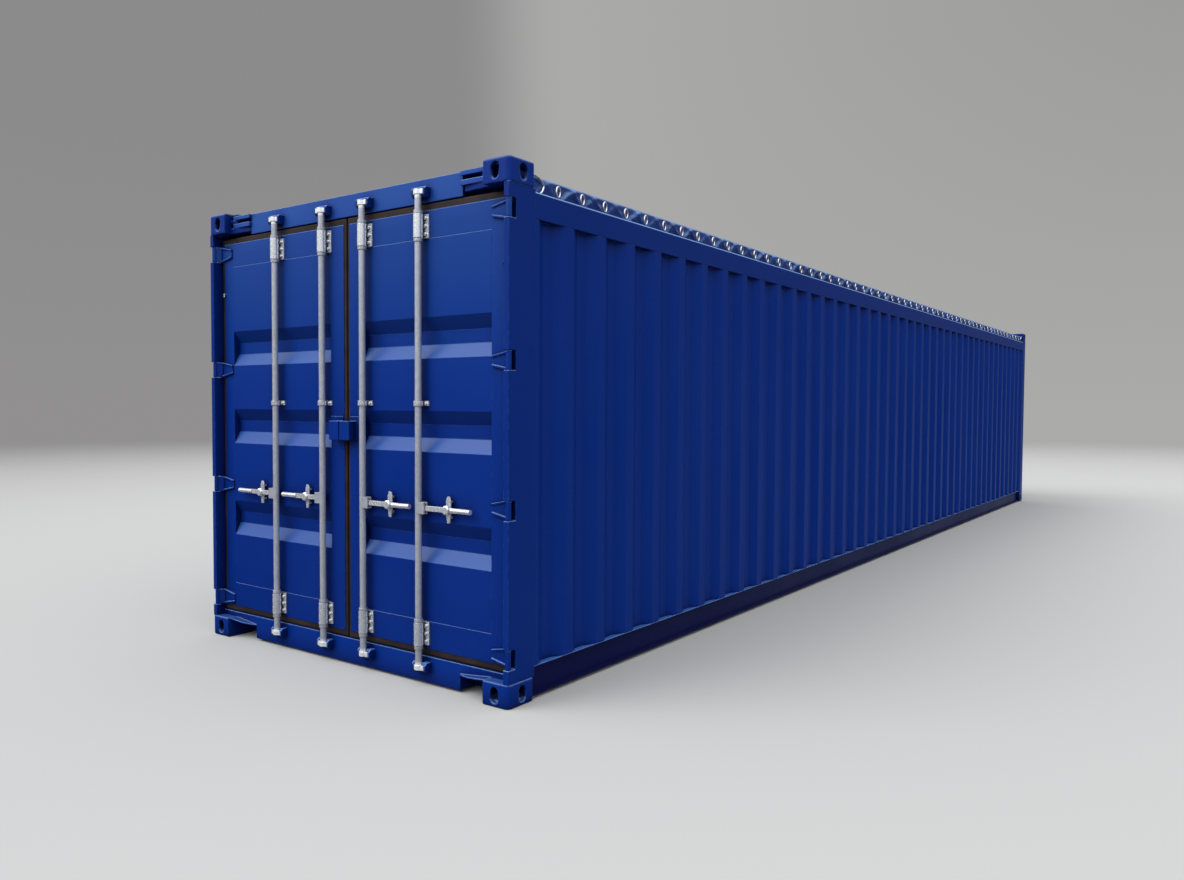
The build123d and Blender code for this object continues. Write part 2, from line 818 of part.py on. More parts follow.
def front_wall():
    """The closed end's corrugated sheet."""
    front = half_length - wall_setback
    span = 2 * front_wall_half
    near = [(place - front_wall_half, front - share * front_wall_depth)
            for place, share in corrugation(span, front_pitch_nominal, wall_end_flat)]
    far = [(x, y - wall_thickness) for x, y in reversed(near)]
    return upright(near + far, side_rail_top, front_top_rail_bottom)


# Rails
def bottom_side_rail():
    """A channel open to the outside, under the wall."""
    outer = from_side(wall_setback)
    inner = from_side(wall_setback + side_rail_width)
    web = from_side(wall_setback + side_rail_web_inset)
    wall = side_rail_wall
    points = [(outer, side_rail_top), (outer, side_rail_top - wall), (web, side_rail_top - wall),
              (web, side_rail_bottom + wall), (outer - wall, side_rail_bottom + wall),
              (outer - wall, side_rail_bottom), (web - wall, side_rail_bottom),
              (web - wall, side_rail_top - wall), (inner, side_rail_top - wall), (inner, side_rail_top)]
    rail = along(points, from_end(casting_length), half_length - casting_length)
    return rail - upright(post_outline(0), casting_height, side_rail_top)


def top_side_rail():
    """A box rail with a bead along its outer edge and a flange that the tarpaulin laps over."""
    outer = from_side(top_rail_setback)
    inner = outer - top_rail_width
    start = side_wall_start
    end = side_wall_end
    wall = top_rail_wall
    rail = block(inner, outer, start, end, top_rail_bottom, top_rail_top)
    rail -= block(inner + wall, outer - wall, start - cut_over, end + cut_over,
                  top_rail_bottom + wall, top_rail_top - wall)
    rail += block(outer - top_rail_bead, outer, start, end, top_rail_top, top_rail_top + top_rail_bead)
    flange_x = from_side(tarp_rail_inset)
    return rail + block(flange_x - tarp_rail_wall, flange_x, start, end, top_rail_top, tarp_rail_top)


# Front end frame
def front_post():
    """A folded post at the closed end."""
    outer_x = from_side(post_setback)
    inner_x = from_side(front_post_width)
    start = half_length - front_post_depth
    end = half_length - post_setback
    post = block(inner_x, outer_x, start, end, casting_height, height - casting_height)
    return post - block(inner_x + post_wall, outer_x - post_wall, start + post_wall, end - post_wall,
                        casting_height, height - casting_height)


def front_rail(low, high):
    """A box rail across the closed end."""
    end = half_length - post_setback
    start = end - front_rail_depth
    rail = block(-front_wall_half, front_wall_half, start, end, low, high)
    wall = side_rail_wall
    rail -= block(-front_wall_half, front_wall_half, start + wall, end - wall, low + wall, high - wall)
    for z0, z1 in ((0, casting_height), (height - casting_height, height)):
        corner = block(casting_inner_x, half_width, start - cut_over, half_length, z0, z1)
        rail = rail - corner - other_side(corner)
    return rail


# Underframe and floor
rail_inner_x = from_side(wall_setback + side_rail_web_inset + side_rail_wall)
floor_start = from_end(leaf_setback + sill_depth)
floor_end = half_length - post_setback - front_rail_depth
floor_bottom = side_rail_bottom + cross_member_height
tunnel_start = floor_end - tunnel_length


def front_bottom_rail():
    """The closed end's lower rail, cut away over the tunnel."""
    opening = block(-tunnel_half_width, tunnel_half_width, floor_end - cut_over, half_length,
                    side_rail_bottom - cut_over, floor_bottom)
    return front_rail(side_rail_bottom, side_rail_top) - opening


def cross_members():
    """Channels between the bottom rails that carry the floor, in two parts beside the tunnel."""
    count = round((floor_end - floor_start) / cross_member_pitch_nominal)
    pitch = (floor_end - floor_start) / count
    low = side_rail_bottom
    high = floor_bottom
    wall = cross_member_wall
    members = []
    for index in range(1, count):
        y = floor_start + index * pitch
        back = y + cross_member_flange
        points = [(y, low), (back, low), (back, low + wall), (y + wall, low + wall),
                  (y + wall, high - wall), (back, high - wall), (back, high), (y, high)]
        if back < tunnel_start:
            members.append(across(points, -rail_inner_x, rail_inner_x))
        else:
            members.append(both_sides(across(points, tunnel_half_width, rail_inner_x)))
    return group(members)


def neck_tunnel():
    """A folded plate under the floor at the closed end."""
    half = tunnel_half_width
    wall = tunnel_wall
    low = side_rail_bottom
    high = floor_bottom
    points = [(-half, low), (wall - half, low), (wall - half, high - wall), (half - wall, high - wall),
              (half - wall, low), (half, low), (half, high), (-half, high)]
    return along(points, tunnel_start, floor_end)


def floor_boards():
    """Plywood sheets across the cross members, with a narrow joint between them."""
    board = (floor_end - floor_start + floor_joint_gap) / floor_board_count
    half = from_side(wall_setback + side_rail_width)
    boards = [block(-half, half, floor_start + index * board,
                    floor_start + (index + 1) * board - floor_joint_gap,
                    floor_bottom, floor_bottom + floor_thickness)
              for index in range(floor_board_count)]
    return group(boards)


# Roof bows and tarpaulin
tarp_half = from_side(tarp_rail_inset) + tarp_thickness + seat_gap
tarp_start = from_end(tarp_end_setback)
tarp_end = half_length - tarp_end_setback
tongue_start = from_end(tarp_tongue_setback)
tongue_half = casting_inner_x - tarp_casting_gap
flange_inner_x = from_side(tarp_rail_inset + tarp_rail_wall)


def crowned(half, edge, crown, thick):
    """A band with a gently crowned top, seen from the end."""
    top = ThreePointArc((-half, edge), (0, crown), (half, edge))
    low = ThreePointArc((half, edge - thick), (0, crown - thick), (-half, edge - thick))
    ends = Line(top @ 1, low @ 0) + Line(low @ 1, top @ 0)
    return make_face(top + low + ends)


def bow_places():
    """Where the middle of each bow lies along the roof."""
    count = round((tarp_end - tarp_start) / bow_pitch_nominal)
    return spread(tarp_start + bow_width, tarp_end - bow_width, count)


def roof_bows():
    """Crowned bars that lift the tarpaulin, between the rails' flanges."""
    half = flange_inner_x - seat_gap
    top_edge = tarp_edge_height - tarp_thickness - seat_gap
    top_crown = tarp_crown_height - tarp_thickness - seat_gap
    band = Plane.XZ * crowned(half, top_edge, top_crown, bow_height)
    return group([Pos(0, place + bow_width / 2, 0) * extrude(band, bow_width) for place in bow_places()])


def bow_sockets():
    """Brackets on the top rails under the ends of the bows."""
    top = tarp_edge_height - tarp_thickness - bow_height - 2 * seat_gap
    half = bow_socket_width / 2
    return group([both_sides(block(flange_inner_x - bow_socket_depth, flange_inner_x,
                                   place - half, place + half, top_rail_top, top))
                  for place in bow_places()])


def tarp_roof(y0, y1, drop):
    """The roof's band between two places, this thick or hung this far down."""
    face = Plane.XZ * crowned(tarp_half, tarp_edge_height, tarp_crown_height, drop)
    return Pos(0, y1, 0) * extrude(face, y1 - y0)


def tarpaulin():
    """The sheet over the bows, with a skirt down each side and a flap at each end."""
    wide = tarp_roof(tarp_start, tarp_end, tarp_thickness)
    tongue = tarp_roof(tongue_start, -tongue_start, tarp_thickness)
    tongue &= block(-tongue_half, tongue_half, -half_length, half_length, 0, height)
    skirt = block(tarp_half - tarp_thickness, tarp_half, tarp_start, tarp_end, tarp_skirt_bottom,
                  tarp_edge_height)
    flap_bottom = tarp_edge_height - tarp_flap_drop
    thick = tarp_thickness
    flap_room = block(-tongue_half, tongue_half, tongue_start, tongue_start + thick, flap_bottom, height)
    for side in (-1, 1):
        x0, x1 = sorted((side * tongue_half, side * (tongue_half - thick)))
        flap_room += block(x0, x1, tongue_start, tarp_start + thick, flap_bottom, height)
        x0, x1 = sorted((side * tongue_half, side * (flange_inner_x - seat_gap)))
        flap_room += block(x0, x1, tarp_start, tarp_start + thick, flap_bottom, height)
    flap = tarp_roof(tongue_start, tarp_start + thick, height) & flap_room
    return wide + tongue + skirt + other_side(skirt) + flap + other_end(flap)


def lashing_rings():
    """Square-bent loops that stand out through the skirt, for the tarpaulin's cable."""
    count = round((tarp_end - tarp_start) / ring_pitch_nominal)
    middle = tarp_skirt_bottom + ring_above_skirt
    low = middle - ring_height / 2
    high = middle + ring_height / 2
    inner = tarp_half + seat_gap
    outer = inner + ring_stand
    points = [(inner, low), (outer - ring_bar, low), (outer, low + ring_bar), (outer, high - ring_bar),
              (outer - ring_bar, high), (inner, high), (inner, high - ring_bar),
              (outer - ring_bar, high - ring_bar), (outer - ring_bar, low + ring_bar), (inner, low + ring_bar)]
    places = spread(tarp_start + ring_pitch_nominal, tarp_end - ring_pitch_nominal, count - 1)
    return group([along(points, place - ring_bar / 2, place + ring_bar / 2) for place in places])


def end_loop():
    """A bent bar from the casting's back down to the top rail, where the cable starts."""
    x = from_side(end_loop_from_side)
    places = [Vector(x, from_end(casting_length + run), top_rail_top + rise) for run, rise in end_loop_points]
    path = Spline(*places)
    bar = sweep(Plane(origin=path @ 0, z_dir=path % 0) * Circle(end_loop_radius), path)
    keep = block(0, half_width, from_end(casting_length), 0, top_rail_top, height)
    return bar & keep


# Every node, by its name
def door_nodes(name, side, boss_reach):
    """The pieces of one leaf, and its two rods and handles."""
    place = other_side if side < 0 else (lambda shape: shape)
    nodes = {
        f"{name}_door_frame": place(leaf_frame()),
        f"{name}_door_panel": place(leaf_panel()),
        f"{name}_door_gasket": place(leaf_gasket()),
        f"{name}_hinge_blades": place(hinge_blades()),
        f"{name}_tie_back_hook": place(tie_back_hook()),
        f"{name}_rod_guides": leaf_guides(side),
        f"{name}_lock_box": place(lock_box()),
        f"{name}_handle_cradles": place(group([handle_cradle(x, 1, boss_reach) for x in rod_offsets])),
    }
    for position, offset in zip(("inner", "outer"), rod_offsets):
        nodes[f"{name}_{position}_lock_rod"] = lock_rod(side * offset, side)
        nodes[f"{name}_{position}_handle"] = handle(side * offset, side, boss_reach)
    return nodes


def all_nodes():
    lower = both_sides(lower_casting())
    upper = both_sides(upper_casting())
    header_face = from_end(leaf_setback)
    loops = both_sides(end_loop())
    nodes = {
        "door_end_lower_castings": lower,
        "door_end_upper_castings": upper,
        "front_end_lower_castings": other_end(lower),
        "front_end_upper_castings": other_end(upper),
        "right_door_post": door_post(),
        "left_door_post": other_side(door_post()),
        "right_hinge_pins": hinge_pins(),
        "left_hinge_pins": other_side(hinge_pins()),
        "door_sill": door_sill(),
        "door_header": door_header(),
        "header_lugs": both_sides(header_lug()),
        "header_cam_keepers": cam_keepers(header_face, rod_top - cam_height, True),
        "sill_cam_keepers": cam_keepers(header_face, rod_bottom, False),
        "right_wall": side_wall(),
        "left_wall": other_side(side_wall()),
        "front_wall": front_wall(),
        "right_bottom_rail": bottom_side_rail(),
        "left_bottom_rail": other_side(bottom_side_rail()),
        "right_top_rail": top_side_rail(),
        "left_top_rail": other_side(top_side_rail()),
        "right_front_post": front_post(),
        "left_front_post": other_side(front_post()),
        "front_top_rail": front_rail(front_top_rail_bottom, front_top_rail_top),
        "front_bottom_rail": front_bottom_rail(),
        "cross_members": cross_members(),
        "neck_tunnel": neck_tunnel(),
        "floor_boards": floor_boards(),
        "roof_bows": roof_bows(),
        "bow_sockets": bow_sockets(),
        "tarpaulin": tarpaulin(),
        "right_lashing_rings": lashing_rings(),
        "left_lashing_rings": other_side(lashing_rings()),
        "tarpaulin_end_loops": group([loops, other_end(loops)]),
    }
    nodes.update(door_nodes("right", 1, right_boss_reach))
    nodes.update(door_nodes("left", -1, left_boss_reach))
    return nodes


os.makedirs("parts", exist_ok=True)
for node, shape in all_nodes().items():
    shape.label = node
    export_step(shape, f"parts/{node}.step")
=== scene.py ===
"""Forty-foot open-top shipping container, seen from its door end and its right side. Metres, in
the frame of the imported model: X across, Y along with the doors at -Y, Z up."""
import math

import bmesh
import bpy
from mathutils import Matrix, Vector
from mathutils import noise as noise_field


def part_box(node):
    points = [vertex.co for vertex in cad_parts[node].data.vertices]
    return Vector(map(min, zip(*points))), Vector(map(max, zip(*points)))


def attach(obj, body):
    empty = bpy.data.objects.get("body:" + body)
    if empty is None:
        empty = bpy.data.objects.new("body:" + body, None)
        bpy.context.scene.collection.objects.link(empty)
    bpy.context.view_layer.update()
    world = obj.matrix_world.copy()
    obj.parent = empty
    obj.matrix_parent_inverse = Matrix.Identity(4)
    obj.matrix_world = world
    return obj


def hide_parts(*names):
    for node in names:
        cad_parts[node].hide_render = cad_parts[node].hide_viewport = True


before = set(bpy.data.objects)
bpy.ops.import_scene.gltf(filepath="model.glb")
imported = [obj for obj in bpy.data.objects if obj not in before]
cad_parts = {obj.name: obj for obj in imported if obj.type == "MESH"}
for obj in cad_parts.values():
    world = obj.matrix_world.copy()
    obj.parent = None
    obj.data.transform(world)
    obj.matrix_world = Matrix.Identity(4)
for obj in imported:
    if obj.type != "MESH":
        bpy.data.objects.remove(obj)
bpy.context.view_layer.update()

# Camera
# Set to the photograph's view: a person's eye height, off the door end's right corner, with a
# fairly wide lens, so that the long side runs away steeply.
camera_place = (3.9834, -9.2803, 1.4324)
camera_yaw = -0.623
camera_pitch = -0.0369
camera_roll = 0.0055
photo_width = 1184
focal_pixels = 904.7
sensor_width = 36.0

camera_data = bpy.data.cameras.new("camera")
camera_data.sensor_width = sensor_width
camera_data.lens = focal_pixels / photo_width * sensor_width
camera_data.clip_end = 500.0
camera = bpy.data.objects.new("camera", camera_data)
bpy.context.scene.collection.objects.link(camera)
camera.matrix_world = (Matrix.Translation(camera_place) @ Matrix.Rotation(-camera_yaw, 4, "Z")
                       @ Matrix.Rotation(math.pi / 2 + camera_pitch, 4, "X")
                       @ Matrix.Rotation(camera_roll, 4, "Z"))
bpy.context.scene.camera = camera


# Painted steel frame
# Castings, posts, sill, header and rails: primed steel, sprayed blue in one go. The paint is
# semi-gloss with a fine orange peel, thinner and paler where it goes round an edge. It carries
# painted light on ledges and upper edges, and painted shade in corners and underneath.
class Wire:
    """One output of a shader node. Sums of wires add Math nodes to the same material."""

    def __init__(self, tree, socket):
        self.tree = tree
        self.socket = socket

    def node(self, kind, settings, sockets, output=0):
        """Adds a node, sets its settings and then its sockets, and gives back one output."""
        made = self.tree.nodes.new(kind)
        for name, value in settings.items():
            if name == "stops":
                elements = made.color_ramp.elements
                for index, (place, shade) in enumerate(value):
                    element = elements[index] if index < 2 else elements.new(place)
                    element.position = place
                    element.color = shade
            else:
                setattr(made, name, value)
        for name, value in sockets.items():
            if isinstance(value, Wire):
                self.tree.links.new(value.socket, made.inputs[name])
            else:
                made.inputs[name].default_value = value
        return Wire(self.tree, made.outputs[output]) if len(made.outputs) else None

    def math(self, operation, first, second):
        return self.node("ShaderNodeMath", {"operation": operation}, {0: first, 1: second})

    def __add__(self, other):
        return self.math("ADD", self, other)

    __radd__ = __add__

    def __rsub__(self, other):
        return self.math("SUBTRACT", other, self)

    def __mul__(self, other):
        return self.math("MULTIPLY", self, other)

    __rmul__ = __mul__


def new_finish(name):
    """An empty material, with a wire of the piece's own coordinates to start from."""
    material = bpy.data.materials.new(name)
    material.use_nodes = True
    tree = material.node_tree
    tree.nodes.clear()
    return material, Wire(tree, tree.nodes.new("ShaderNodeTexCoord").outputs["Object"])


def close_finish(wire, sockets):
    """Ends a material in a Principled shader with these sockets."""
    surface = wire.node("ShaderNodeBsdfPrincipled", {}, sockets)
    wire.node("ShaderNodeOutputMaterial", {}, {"Surface": surface})


def noise(place, scale, detail=2.0, stretch=(1.0, 1.0, 1.0)):
    """Soft noise from 0 to 1, with lumps about 1 / scale metres across before the stretch."""
    spot = place.node("ShaderNodeVectorMath", {"operation": "MULTIPLY"}, {0: place, 1: stretch})
    return spot.node("ShaderNodeTexNoise", {}, {"Vector": spot, "Scale": scale, "Detail": detail})


def ramp(value, low, high):
    """0 below low, 1 above high, and a straight climb between them."""
    return value.node("ShaderNodeMapRange", {}, {"Value": value, "From Min": low, "From Max": high})


def blend_colour(share, first, second):
    """The first colour where share is 0 and the second where it is 1."""
    settings = {"data_type": "RGBA"}
    return share.node("ShaderNodeMix", settings, {0: share, 6: first, 7: second}, output=2)


def dot(first, second):
    return first.node("ShaderNodeVectorMath", {"operation": "DOT_PRODUCT"},
                      {0: first, 1: second}, output=1)


def vertical_part(vector):
    """The vertical part of a vector."""
    return vector.node("ShaderNodeSeparateXYZ", {}, {"Vector": vector}, output=2)


def open_share(place, reach, samples=5):
    """How open a spot is to its surroundings within reach, from 0 to 1."""
    return place.node("ShaderNodeAmbientOcclusion", {"samples": samples}, {"Distance": reach},
                      output=1)


def bump(height, strength, distance, over=None):
    """A bumped normal from a height, on top of another normal if one is given."""
    sockets = {"Height": height, "Strength": strength, "Distance": distance}
    if over:
        sockets["Normal"] = over
    return height.node("ShaderNodeBump", {}, sockets)


def dress(names, material):
    """Gives CAD nodes a finish."""
    for name in names:
        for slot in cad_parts[name].material_slots:
            slot.material = material


def nodes_with(*words):
    return [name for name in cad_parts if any(word in name for word in words)]


blue = (0.0006, 0.0215, 0.192, 1.0)
blue_faded = (0.0018, 0.030, 0.228, 1.0)
# Painted shade: faces that look down are darkened towards this deeper blue.
blue_underside_shade = (0.0006, 0.011, 0.100, 1.0)
blue_edge = (0.030, 0.10, 0.40, 1.0)
# Painted light: faces that look up are lightened towards this paler blue.
blue_ledge_light = (0.045, 0.140, 0.45, 1.0)
# Painted highlight along edges that face up.
blue_glint = (0.28, 0.44, 0.85, 1.0)
# Painted shade: corners and recesses are darkened towards this colour.
blue_corner_shade = (0.0008, 0.004, 0.045, 1.0)
# Road dirt and painted shade under the bottom side rail's lip.
rail_dirt_and_shade = (0.003, 0.005, 0.055, 1.0)
# Painted shade: the door posts and top side rails take this darker copy of the blue.
blue_post_shaded = (0.0005, 0.0190, 0.170, 1.0)
# Painted highlight: a pale line along the top side rail's upper bead.
blue_bead_highlight = (0.24, 0.42, 0.80, 1.0)
coat_top = 2.6
plain_coat = ((0.0, blue), (coat_top, blue))
shaded_post_coat = ((0.0, blue_post_shaded), (coat_top, blue_post_shaded))
# Painted light: the doors and header grow paler towards the top, as under a lamp high in front.
top_lit_coat = ((0.30, (0.0004, 0.0175, 0.164, 1.0)), (1.45, (0.0005, 0.0210, 0.193, 1.0)),
              (1.85, (0.002, 0.031, 0.216, 1.0)), (2.35, (0.009, 0.048, 0.245, 1.0)),
              (2.52, (0.019, 0.073, 0.315, 1.0)))
top_rail_highlight_level = 2.4535
highlight_half_height = 0.0035
corner_shade_reach = 0.12
paint_roughness = 0.30
paint_edge_radius = 0.006
casting_edge_radius = 0.013
patch_scale = 1.3
patch_share = 0.3
scuff_scale = 38.0
orange_peel_scale = 260.0
orange_peel_strength = 0.10
orange_peel_depth = 0.0006
paint_specular = 0.10
ledge_gloss = 0.35
ledge_gloss_roughness = 0.3
dark_fade = 0.01
rail_dark_top = 0.158


def blue_paint(name, edge_radius, edge_wear_and_highlight, coat=plain_coat, ledge_light_share=1.0, dark_top=0.0,
               highlight_level=0.0):
    """Sprayed paint with rounded, worn edges, painted light on ledges and upper edges, and painted
    shade in corners and on faces that look down. The coat gives its colour at heights above the
    ground. It is darker below a given height, for road dirt and the painted shade under a rail's
    lip, and a painted highlight runs along a bead at a given height."""
    material, place = new_finish(name)
    rounded = place.node("ShaderNodeBevel", {"samples": 4}, {"Radius": edge_radius})
    flat = place.node("ShaderNodeNewGeometry", {}, {}, output=1)
    turned = dot(rounded, flat)
    upward = vertical_part(rounded)
    level = vertical_part(place)
    patches = noise(place, patch_scale, 5.0)
    scuffs = noise(place, scuff_scale, 4.0)
    stops = [(height / coat_top, shade) for height, shade in coat]
    colour = level.node("ShaderNodeValToRGB", {"stops": stops}, {"Fac": level * (1 / coat_top)})
    colour = blend_colour(patch_share * ramp(patches, 0.35, 0.75), colour, blue_faded)
    # Painted shade in corners and recesses, from how hemmed in each spot is.
    colour = blend_colour(ramp(open_share(place, corner_shade_reach), 0.35, 0.92), blue_corner_shade, colour)
    # Painted shade on faces that look down.
    colour = blend_colour(ramp(0.0 - upward, 0.1, 0.7), colour, blue_underside_shade)
    # Painted light on faces that look up, as if lit from above.
    colour = blend_colour(ledge_light_share * ramp(upward, 0.15, 0.85), colour, blue_ledge_light)
    worn = ramp(1.0 - turned, 0.02, 0.22) * ramp(scuffs, 0.42, 0.62)
    colour = blend_colour(worn * edge_wear_and_highlight, colour, blue_edge)
    # Painted highlight: a bright line along edges that face up, as strong as the edge wear.
    glint = ramp(1.0 - turned, 0.01, 0.12) * ramp(upward, 0.1, 0.5) * (0.4 + scuffs)
    colour = blend_colour(glint * edge_wear_and_highlight, colour, blue_glint)
    # Darker below a given height: road dirt, and painted shade under the rail's lip.
    if dark_top:
        colour = blend_colour(ramp(level, dark_top - dark_fade, dark_top), rail_dirt_and_shade, colour)
    # Painted highlight: a pale line along a bead at this height.
    if highlight_level:
        band = ramp(level, highlight_level - highlight_half_height, highlight_level) * ramp(level, highlight_level + highlight_half_height, highlight_level)
        colour = blend_colour(ramp(band, 0.0, 0.4), colour, blue_bead_highlight)
    roughness = paint_roughness + 0.10 * ramp(patches, 0.3, 0.7) + 0.08 * ramp(scuffs, 0.4, 0.8)
    orange_peel = noise(place, orange_peel_scale, 1.0)
    normal = bump(orange_peel, orange_peel_strength, orange_peel_depth, rounded)
    close_finish(place, {"Base Color": colour, "Roughness": roughness, "Normal": normal,
                         "Specular IOR Level": paint_specular,
                         "Coat Weight": ledge_gloss * ramp(upward, 0.1, 0.6),
                         "Coat Roughness": ledge_gloss_roughness})
    return material


dress(nodes_with("front_post", "front_top_rail", "header_lugs", "hinge_pins", "cam_keepers",
                 "cross_members", "tunnel"),
      blue_paint("blue_frame_paint", paint_edge_radius, 0.9))
dress(nodes_with("castings"),
      blue_paint("blue_casting_paint", casting_edge_radius, 0.6, ledge_light_share=0.5))
# The door posts and top side rails have painted shade in a darker copy of the paint.
dress(nodes_with("door_post"), blue_paint("blue_post_paint", paint_edge_radius, 0.9, shaded_post_coat))
dress(nodes_with("t_top_rail"),
      blue_paint("blue_top_rail_paint", paint_edge_radius, 0.4, shaded_post_coat, highlight_level=top_rail_highlight_level))
dress(["door_header"], blue_paint("blue_header_paint", paint_edge_radius, 0.9, top_lit_coat))
dress(["door_sill"], blue_paint("blue_sill_paint", paint_edge_radius, 0.9, ledge_light_share=0.3))
dress(nodes_with("bottom_rail"),
      blue_paint("blue_bottom_rail_paint", paint_edge_radius, 0.9, dark_top=rail_dark_top))

# Corrugated walls
# Two-millimetre sheet pressed into trapezoid ribs and welded all round to the frame, under the
# same blue paint.
sheet_edge_radius = 0.006
dress(nodes_with("_wall"), blue_paint("blue_sheet_paint", sheet_edge_radius, 0.25))

# Plywood floor
# Thick tropical plywood boards, varnished dark and scratched by loads, screwed to the cross
# members.
material, place = new_finish("floor_plywood")
grain = noise(place, 14.0, 6.0, (14.0, 1.0, 14.0))
plywood_dark = (0.20, 0.10, 0.045, 1.0)
plywood_light = (0.36, 0.21, 0.10, 1.0)
colour = blend_colour(ramp(grain, 0.3, 0.7), plywood_dark, plywood_light)
close_finish(place, {"Base Color": colour, "Roughness": 0.55 + 0.2 * ramp(grain, 0.3, 0.8),
                     "Normal": bump(grain, 0.3, 0.001)})
dress(["floor_boards"], material)

# Door leaves
# A welded frame of square tube round a sheet with three pressed recesses, with forged hinge
# straps and half a padlock guard on each, in the frame's paint.
# The leaves' paint carries painted light that grows towards the top.
dress(nodes_with("door_frame", "door_panel", "hinge_blades", "lock_box", "right_tie_back"),
      blue_paint("blue_door_paint", paint_edge_radius, 0.6, top_lit_coat))

# Door gaskets
# Extruded rubber strip riveted round each leaf, dull and slightly dusty, with painted shade in
# its crevices.
material, place = new_finish("seal_rubber")
dust = noise(place, 6.0, 4.0)
rubber_crevice_shade = (0.008, 0.005, 0.006, 1.0)
rubber_dark = (0.013, 0.007, 0.008, 1.0)
rubber_dusty = (0.030, 0.017, 0.016, 1.0)
rubber_shade_reach = 0.03
colour = blend_colour(ramp(dust, 0.4, 0.7), rubber_dark, rubber_dusty)
# Painted shade where the strip is hemmed in.
shelter = open_share(place, rubber_shade_reach)
colour = blend_colour(ramp(shelter, 0.4, 0.85), rubber_crevice_shade, colour)
close_finish(place, {"Base Color": colour, "Roughness": 0.6 + 0.15 * dust,
                     "Specular IOR Level": 0.25,
                     "Normal": bump(noise(place, 300.0), 0.1, 0.0005)})
dress(nodes_with("gasket"), material)

# Locking gear
# Steel tube rods with forged cams, handles and guides, dipped in zinc. The rods keep a dull skin,
# and the forgings a brighter, smoother one with a faint spangle.
zinc_crevice_shade = (0.05, 0.055, 0.075, 1.0)
zinc_cast = (0.88, 0.91, 0.96, 1.0)
zinc_edge_radius = 0.003
zinc_shade_reach = 0.015
spangle_scale = 95.0
lump_depth = 0.0012
cam_height = 0.045
rod_low, rod_high = (corner[2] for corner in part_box("right_inner_lock_rod"))


def zinc(name, dark, light, metal, roughness, lumps, cast_ends=0.0):
    """Zinc between two tones, with painted shade in its crevices. The cast ends of a rod, this
    long, are brighter than its tube."""
    material, place = new_finish(name)
    spangle = place.node("ShaderNodeTexVoronoi", {"feature": "F1"},
                         {"Vector": place, "Scale": spangle_scale}, output=1)
    tone = spangle.node("ShaderNodeSeparateColor", {}, {"Color": spangle})
    streaks = noise(place, 9.0, 3.0, (1.0, 1.0, 0.25))
    colour = blend_colour(0.5 * tone + 0.5 * ramp(streaks, 0.3, 0.7), dark, light)
    # Painted shade in the crevices between the parts.
    shelter = open_share(place, zinc_shade_reach, samples=6)
    colour = blend_colour(ramp(shelter, 0.30, 0.75), zinc_crevice_shade, colour)
    if cast_ends:
        level = vertical_part(place)
        ends = ramp(level, rod_high - cast_ends, rod_high - cast_ends + 0.01)
        ends += ramp(level, rod_low + cast_ends, rod_low + cast_ends - 0.01)
        colour = blend_colour(ends, colour, zinc_cast)
    rounded = place.node("ShaderNodeBevel", {"samples": 4}, {"Radius": zinc_edge_radius})
    close_finish(place, {"Base Color": colour, "Metallic": metal,
                         "Roughness": roughness + 0.12 * tone,
                         "Normal": bump(noise(place, 140.0), lumps, lump_depth, rounded)})
    return material


dress(nodes_with("lock_rod"),
      zinc("rod_zinc", (0.40, 0.43, 0.50, 1.0), (0.54, 0.57, 0.64, 1.0), 0.50, 0.32, 0.03,
           cast_ends=cam_height))
dress(nodes_with("handle", "rod_guides", "left_tie_back"),
      zinc("forged_zinc", (0.76, 0.80, 0.86, 1.0), (0.88, 0.91, 0.96, 1.0), 0.65, 0.20, 0.03))
dress(nodes_with("bow"),
      zinc("bow_zinc", (0.30, 0.32, 0.35, 1.0), (0.45, 0.47, 0.5, 1.0), 0.6, 0.45, 0.1))

# Tarpaulin
# A coated cloth laid over the bows, with a skirt that is laced down at each ring and a flap at
# each end. It sags a little between the bows, and its skirt folds from ring to ring.
cloth_low, cloth_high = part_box("tarpaulin")
bow_low, bow_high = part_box("roof_bows")
ring_low, ring_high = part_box("right_lashing_rings")
rings_per_side = 57
bows = 19
bow_half_width = 0.020
ring_half_bar = 0.004
crown_rise = 0.038
flap_reach = 0.078
flap_inset = 0.004
flap_half = 1.045
flap_shoulder = 1.177
flap_level = cloth_high[2] - 0.118
sag_depth = 0.009
crease_depth = 0.0016
lace_lift = 0.007
fold_height = 0.014
cloth_step = 0.017
cloth_thickness = 0.0012
cloth_clearance = 0.001
weld_distance = 0.0002
bend_radius = 0.009

cloth_half = cloth_high[0]
edge_level = cloth_high[2] - crown_rise
first_bow = bow_low[1] + bow_half_width
bow_pitch = (bow_high[1] - bow_low[1] - 2 * bow_half_width) / (bows - 1)
first_ring = ring_low[1] + ring_half_bar
ring_pitch = (ring_high[1] - ring_low[1] - 2 * ring_half_bar) / (rings_per_side - 1)
skirt_end = first_bow - 0.040
flap_end = -skirt_end + flap_reach - flap_inset


def new_piece(name, mesh, material):
    """A smooth object with this mesh and material, which moves with the container's body."""
    data = bpy.data.meshes.new(name)
    mesh.to_mesh(data)
    mesh.free()
    data.materials.append(material)
    for polygon in data.polygons:
        polygon.use_smooth = True
    piece = bpy.data.objects.new(name, data)
    bpy.context.scene.collection.objects.link(piece)
    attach(piece, "root")
    return piece


def hump(value, middle, spread):
    return math.exp(-((value - middle) / spread) ** 2)


def ripple(x, y, z, scale):
    return noise_field.noise(Vector((x, y, z)) * scale)


